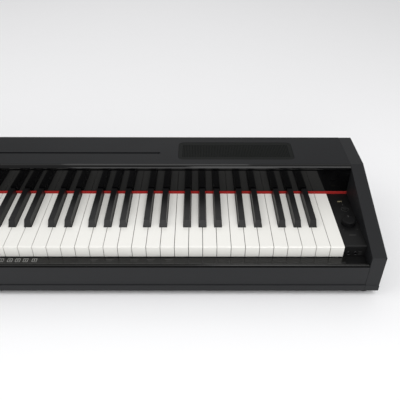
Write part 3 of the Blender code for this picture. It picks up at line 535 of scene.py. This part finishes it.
class PIANO_OT_grilles(bpy.types.Operator):
    """Perforated plates over the speakers"""
    bl_idname = "piano.grilles"
    bl_label = "Speaker grilles"

    def execute(self, context):
        for side in ("left", "right"):
            self.add_grille(f"{side}_speaker_grille", context.scene.piano_sizes)
        return {"FINISHED"}

    def add_grille(self, node, sizes):
        low, high = corners(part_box(node))
        centre = (low + high) / 2
        half = (high - low) / 2
        pitch = sizes.hole_pitch
        columns = int((half.x - sizes.grille_rim) * 2 / pitch)
        rows = int((half.y - sizes.grille_rim) * 2 / pitch)
        half_x = columns * pitch / 2
        half_y = rows * pitch / 2

        def rim(shape):
            outer = rounded_loop(half.x, half.y, PLATE_CORNER)
            edge = rounded_loop(half.x - PLATE_CHAMFER, half.y - PLATE_CHAMFER,
                                PLATE_CORNER - PLATE_CHAMFER)
            inner = rounded_loop(half_x, half_y, PLATE_HOLE_CORNER)
            levels = ((outer, low.z), (outer, high.z - PLATE_CHAMFER), (edge, high.z),
                      (inner, high.z), (inner, low.z))
            rings = []
            for loop, z in levels:
                rings.append([shape.verts.new((centre.x + p.x, centre.y + p.y, z)) for p in loop])
            join_rings(shape, zip(rings, rings[1:] + rings[:1]), len(outer))
            bmesh.ops.remove_doubles(shape, verts=shape.verts, dist=MERGE_DISTANCE)

        def hole(shape):
            edge = []
            mouth = []
            for step in range(HOLE_SIDES):
                angle = 2 * math.pi * step / HOLE_SIDES
                direction = Vector((math.cos(angle), math.sin(angle)))
                edge.append(direction * pitch / 2 / max(abs(direction.x), abs(direction.y)))
                mouth.append(direction * sizes.hole_radius)
            rings = []
            for loop, z in ((edge, 0), (mouth, 0), (mouth, low.z - high.z + PLATE_CHAMFER)):
                rings.append([shape.verts.new((p.x, p.y, z)) for p in loop])
            join_rings(shape, zip(rings, rings[1:]), HOLE_SIDES)

        def cloth(shape):
            bar(shape, (centre.x, centre.y, low.z + CLOTH_THICKNESS / 2),
                (2 * half_x, 2 * half_y, CLOTH_THICKNESS))

        points = []
        for row in range(rows):
            for column in range(columns):
                x = centre.x - half_x + (column + 0.5) * pitch
                y = centre.y - half_y + (row + 0.5) * pitch
                points.append((x, y, high.z))
        rim_piece = add_built_piece(f"{node}_rim", rim, "grille_finish", CASE)
        add_repeated_piece(f"{node}_mesh", hole, points, "grille_finish", CASE)
        add_built_piece(f"{node}_cloth", cloth, "speaker_finish", CASE)
        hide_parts(node)


class PIANO_OT_controls(bpy.types.Operator):
    """Grip ribs and pointer of the knob, the socket collars and a pale ring painted round the
    button as a painted highlight of its rim
    """
    bl_idname = "piano.controls"
    bl_label = "Controls and sockets"

    def execute(self, context):
        self.add_ribs()
        self.add_pointer()
        self.add_collars()
        self.add_button_ring()
        return {"FINISHED"}

    def add_ribs(self):
        ring = (KNOB_HIGH.x - KNOB_LOW.x) / 2 - RIB_INSET
        height = KNOB_HIGH.z - CHEEK_HIGH.z - RIB_SHORTFALL
        middle = (CHEEK_HIGH.z + KNOB_HIGH.z) / 2 - RIB_DROP

        def rib(shape):
            bar(shape, (0, 0, 0), (RIB_WIDTH, RIB_DEPTH, height))

        points = []
        for step in range(RIB_COUNT):
            angle = 2 * math.pi * step / RIB_COUNT
            x = KNOB_CENTRE.x + ring * math.cos(angle)
            y = KNOB_CENTRE.y + ring * math.sin(angle)
            points.append((x, y, middle))
        add_repeated_piece("knob_ribs", rib, points, "knob_finish", KNOB)

    def add_pointer(self):
        reach = (KNOB_HIGH.x - KNOB_LOW.x) / 2 * POINTER_REACH

        def pointer(shape):
            bar(shape, (KNOB_CENTRE.x, KNOB_CENTRE.y + reach, KNOB_HIGH.z), POINTER_SIZE)

        add_built_piece("knob_pointer", pointer, "faint_print_and_highlight_finish", KNOB)

    def add_collars(self):
        turn = Matrix.Rotation(math.radians(90), 4, "X")
        crown = (SOCKET_RADIUS + COLLAR_BORE) / 2
        profile = [(SOCKET_RADIUS, COLLAR_RISE), (SOCKET_RADIUS, -COLLAR_DEPTH),
                   (COLLAR_BORE, -COLLAR_DEPTH), (COLLAR_BORE, COLLAR_RISE), (crown, COLLAR_CROWN)]
        for number, side in ((1, -1), (2, 1)):
            x = SOCKETS_CENTRE.x + side * SOCKET_HALF_SPACING
            place = Matrix.Translation((x, CHEEK_FACE, SOCKETS_CENTRE.z)) @ turn

            def collar(shape, place=place):
                turned(shape, profile, place, COLLAR_STEPS)

            add_built_piece(f"socket_collar_{number}", collar, "screw_finish", CASE)

    def add_button_ring(self):
        # A pale flat ring round the power button: a painted highlight of its rim
        place = Matrix.Translation((BUTTON_CENTRE.x, BUTTON_CENTRE.y, CHEEK_HIGH.z))
        profile = [(HIGHLIGHT_RING_OUTER, SURFACE_LIFT), (HIGHLIGHT_RING_OUTER, 0),
                   (HIGHLIGHT_RING_INNER, 0), (HIGHLIGHT_RING_INNER, SURFACE_LIFT)]

        def ring(shape):
            turned(shape, profile, place, HIGHLIGHT_RING_STEPS)

        add_built_piece("button_ring", ring, "faint_print_and_highlight_finish", CASE)


class PIANO_OT_marks(bpy.types.Operator):
    """Generic printed marks on the slip and beside the controls"""
    bl_idname = "piano.marks"
    bl_label = "Printed marks"

    def execute(self, context):
        self.add_digits()
        self.add_labels()
        self.add_cheek_marks()
        self.add_symbol()
        self.add_socket_marks()
        return {"FINISHED"}

    def strip_point(self, x):
        """The middle of a mark on the slip's flat strip."""
        return Vector((x, KEY_LOW.y - STRIP_SETBACK, SLIP_HIGH.z - STRIP_DROP + SURFACE_LIFT))

    def add_digits(self):
        reach = DIGIT_BOX / 2
        for number, x in enumerate(DIGITS_X, 1):
            point = self.strip_point(x)

            def box(shape, point=point):
                for side in (-1, 1):
                    bar(shape, point + Vector((side * reach, 0, 0)), (BOX_LINE, DIGIT_BOX, INK))
                    bar(shape, point + Vector((0, side * reach, 0)),
                        (DIGIT_BOX - BOX_LINE, BOX_LINE, INK))

            digit = text_mesh(str(number), DIGIT_SIZE, Matrix.Translation(point))
            add_piece(f"slip_digit_{number}", digit, "print_finish", CASE)
            add_built_piece(f"slip_box_{number}", box, "print_finish", CASE)

    def add_labels(self):
        for number, x in enumerate(LABELS_X, 1):
            point = self.strip_point(x)

            def lines(shape, point=point):
                for row, width in enumerate(LABEL_WIDTHS):
                    shift = Vector((0, LABEL_SHIFT - LABEL_PITCH * row, 0))
                    bar(shape, point + shift, (width, LABEL_LINE, INK))

            add_built_piece(f"slip_label_{number}", lines, "faint_print_and_highlight_finish", CASE)

    def add_cheek_marks(self):
        """Strokes round the knob and behind the button."""
        def strokes(shape):
            cheek_strokes(shape, BUTTON_CENTRE, BUTTON_STROKES)
            cheek_strokes(shape, KNOB_CENTRE, KNOB_STROKES)

        add_built_piece("cheek_marks", strokes, "faint_print_and_highlight_finish", CASE)

    def add_symbol(self):
        def symbol(shape):
            cheek_strokes(shape, BUTTON_CENTRE, SYMBOL_STROKES)

        add_built_piece("cheek_symbol", symbol, "gold_print_finish", CASE)

    def add_socket_marks(self):
        """Two short lines beside the sockets."""
        x, y = SOCKETS_CENTRE.x + SOCKET_LINE_X, CHEEK_FACE - SURFACE_LIFT

        def lines(shape):
            for z in SOCKET_LINES_Z:
                bar(shape, (x, y, SOCKETS_CENTRE.z + z), SOCKET_LINE_SIZE)

        add_built_piece("socket_marks", lines, "faint_print_and_highlight_finish", CASE)


class PIANO_OT_screws(bpy.types.Operator):
    """Case screws on the back"""
    bl_idname = "piano.screws"
    bl_label = "Screws"

    def execute(self, context):
        radius = context.scene.piano_sizes.screw_radius
        turn = Matrix.Rotation(math.radians(-90), 4, "X")
        profile = [(0, 0), (radius * SCREW_RECESS, 0), (radius * SCREW_RECESS_RIM, SCREW_RISE),
                   (radius * SCREW_FLAT, SCREW_RISE), (radius, SCREW_SHOULDER),
                   (radius, -SCREW_SINK), (0, -SCREW_SINK)]

        def head(shape):
            turned(shape, profile, turn, SCREW_STEPS)

        length = REAR_HIGH.x - REAR_LOW.x - 2 * SCREW_END_MARGIN
        points = []
        for z in (REAR_LOW.z + SCREW_EDGE_MARGIN, REAR_HIGH.z - SCREW_EDGE_MARGIN):
            for column in range(SCREW_COLUMNS):
                x = REAR_LOW.x + SCREW_END_MARGIN + length * column / (SCREW_COLUMNS - 1)
                points.append((x, REAR_HIGH.y - SCREW_SINK, z))
        add_repeated_piece("rear_screws", head, points, "screw_finish", CASE)
        return {"FINISHED"}


class PIANO_OT_stage(bpy.types.Operator):
    """Pale floor, soft lights and the photograph's camera"""
    bl_idname = "piano.stage"
    bl_label = "Stage"

    def execute(self, context):
        self.add_floor()
        self.add_world(context.scene)
        self.add_lights()
        self.add_camera(context.scene)
        context.scene.view_settings.view_transform = "Standard"
        return {"FINISHED"}

    def add_floor(self):
        shape = bmesh.new()
        bmesh.ops.create_grid(shape, x_segments=8, y_segments=8, size=FLOOR_REACH)
        mesh = bpy.data.meshes.new("floor")
        shape.to_mesh(mesh)
        shape.free()
        mesh.materials.append(bpy.data.materials["floor_paper"])
        floor = bpy.data.objects.new("floor", mesh)
        bpy.context.scene.collection.objects.link(floor)

    def add_world(self, scene):
        """Soft light from all round, seen by the camera as a white backdrop."""
        world = bpy.data.worlds.new("studio")
        scene.world = world
        world.use_nodes = True
        nodes, links = world.node_tree.nodes, world.node_tree.links
        light = nodes["Background"]
        backdrop = nodes.new("ShaderNodeBackground")
        for node, strength in ((light, WORLD_STRENGTH), (backdrop, BACKDROP_STRENGTH)):
            node.inputs["Color"].default_value = (1, 1, 1, 1)
            node.inputs["Strength"].default_value = strength
        path = nodes.new("ShaderNodeLightPath")
        choose = nodes.new("ShaderNodeMixShader")
        links.new(path.outputs["Is Camera Ray"], choose.inputs["Fac"])
        links.new(light.outputs["Background"], choose.inputs[1])
        links.new(backdrop.outputs["Background"], choose.inputs[2])
        links.new(choose.outputs["Shader"], nodes["World Output"].inputs["Surface"])

    def add_lights(self):
        for name, place, size, power in STUDIO_LIGHTS:
            lamp = bpy.data.lights.new(name, "AREA")
            lamp.size = size
            lamp.energy = power
            holder = bpy.data.objects.new(name, lamp)
            bpy.context.scene.collection.objects.link(holder)
            holder.location = place
            aim = LIGHT_AIM - Vector(place)
            holder.rotation_euler = aim.to_track_quat("-Z", "Y").to_euler()

    def add_camera(self, scene):
        forward = Vector((math.sin(CAMERA_YAW) * math.cos(CAMERA_PITCH),
                          math.cos(CAMERA_YAW) * math.cos(CAMERA_PITCH),
                          -math.sin(CAMERA_PITCH)))
        level_right = Vector((math.cos(CAMERA_YAW), -math.sin(CAMERA_YAW), 0))
        level_down = forward.cross(level_right)
        right = level_right * math.cos(CAMERA_ROLL) + level_down * math.sin(CAMERA_ROLL)
        down = level_down * math.cos(CAMERA_ROLL) - level_right * math.sin(CAMERA_ROLL)
        data = bpy.data.cameras.new("photo_camera")
        data.sensor_width = CAMERA_SENSOR
        data.lens = CAMERA_LENS
        data.clip_start = CAMERA_CLIP
        camera = bpy.data.objects.new("photo_camera", data)
        scene.collection.objects.link(camera)
        corner = Vector((KEY_HIGH.x + HALF_KEY_GAP, KEY_LOW.y, KEY_HIGH.z))
        turn = Matrix((right, -down, -forward)).transposed()
        camera.matrix_world = Matrix.Translation(corner + CAMERA_OFFSET) @ turn.to_4x4()
        scene.camera = camera


class PIANO_PT_panel(bpy.types.Panel):
    """Lists the piano's operators and settings"""
    bl_idname = "PIANO_PT_panel"
    bl_label = "Digital piano"
    bl_space_type = "VIEW_3D"
    bl_region_type = "UI"
    bl_category = "Piano"

    def draw(self, context):
        for operator in OPERATORS:
            self.layout.operator(operator.bl_idname)
        for settings in (context.scene.piano_finishes, context.scene.piano_sizes):
            for name in settings.__annotations__:
                self.layout.prop(settings, name)


OPERATORS = (
    PIANO_OT_finishes,
    PIANO_OT_grilles,
    PIANO_OT_controls,
    PIANO_OT_marks,
    PIANO_OT_screws,
    PIANO_OT_stage,
)
CLASSES = (PianoFinishes, PianoSizes, *OPERATORS, PIANO_PT_panel)


def register():
    for kind in CLASSES:
        bpy.utils.register_class(kind)
    bpy.types.Scene.piano_finishes = bpy.props.PointerProperty(type=PianoFinishes)
    bpy.types.Scene.piano_sizes = bpy.props.PointerProperty(type=PianoSizes)


def unregister():
    del bpy.types.Scene.piano_sizes
    del bpy.types.Scene.piano_finishes
    for kind in reversed(CLASSES):
        bpy.utils.unregister_class(kind)


def main():
    register()
    bpy.ops.piano.finishes()
    bpy.ops.piano.grilles()
    bpy.ops.piano.controls()
    bpy.ops.piano.marks()
    bpy.ops.piano.screws()
    bpy.ops.piano.stage()


if __name__ == "__main__":
    main()
